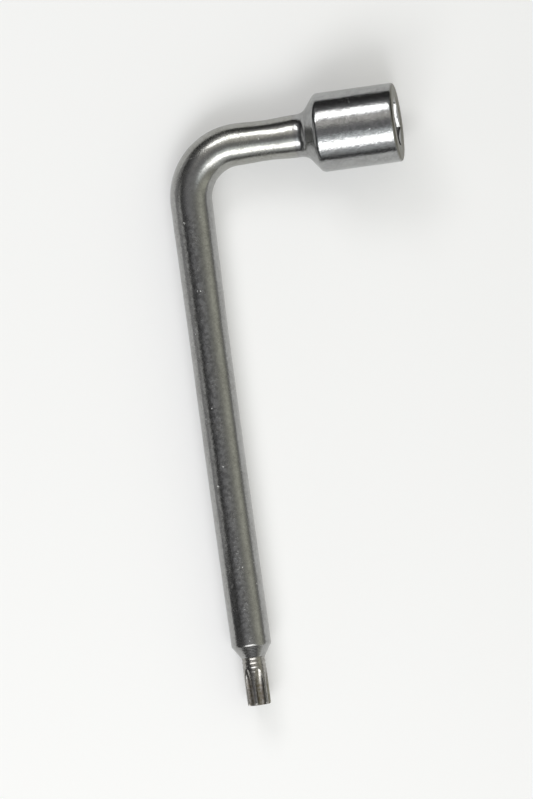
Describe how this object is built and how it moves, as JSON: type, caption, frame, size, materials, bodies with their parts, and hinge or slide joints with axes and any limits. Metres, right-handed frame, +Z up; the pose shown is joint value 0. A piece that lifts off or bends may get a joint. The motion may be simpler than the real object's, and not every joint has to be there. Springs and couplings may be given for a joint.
{
  "type": "saw blade wrench",
  "caption": "L-shaped plated steel key with a hex box socket on the short arm and a star tip on the long shank, for the bolt that holds a saw blade.",
  "frame": {"origin": "on the table, under the middle of the box round the wrench as it lies", "axes": "+Z up from the table; the long shank runs along -Y from the bend to the star tip; the short arm runs to the socket's mouth along +X and rises by 7.5 degrees, because the socket lies on its shoulder"},
  "size_m": [0.0571, 0.1416, 0.0209],
  "materials": {
    "plated_bar": "bright plated over drawn bar, fine pits",
    "plated_socket": "bright plated",
    "plated_filler": "bright plated over a hollow bead",
    "bit_steel": "plated, milled flutes with brown grime in them"
  },
  "bodies": {
    "root": {"shank": "plated_bar", "socket_head": "plated_socket", "braze_ring": "plated_filler", "star_bit": "bit_steel"}
  },
  "joints": []
}
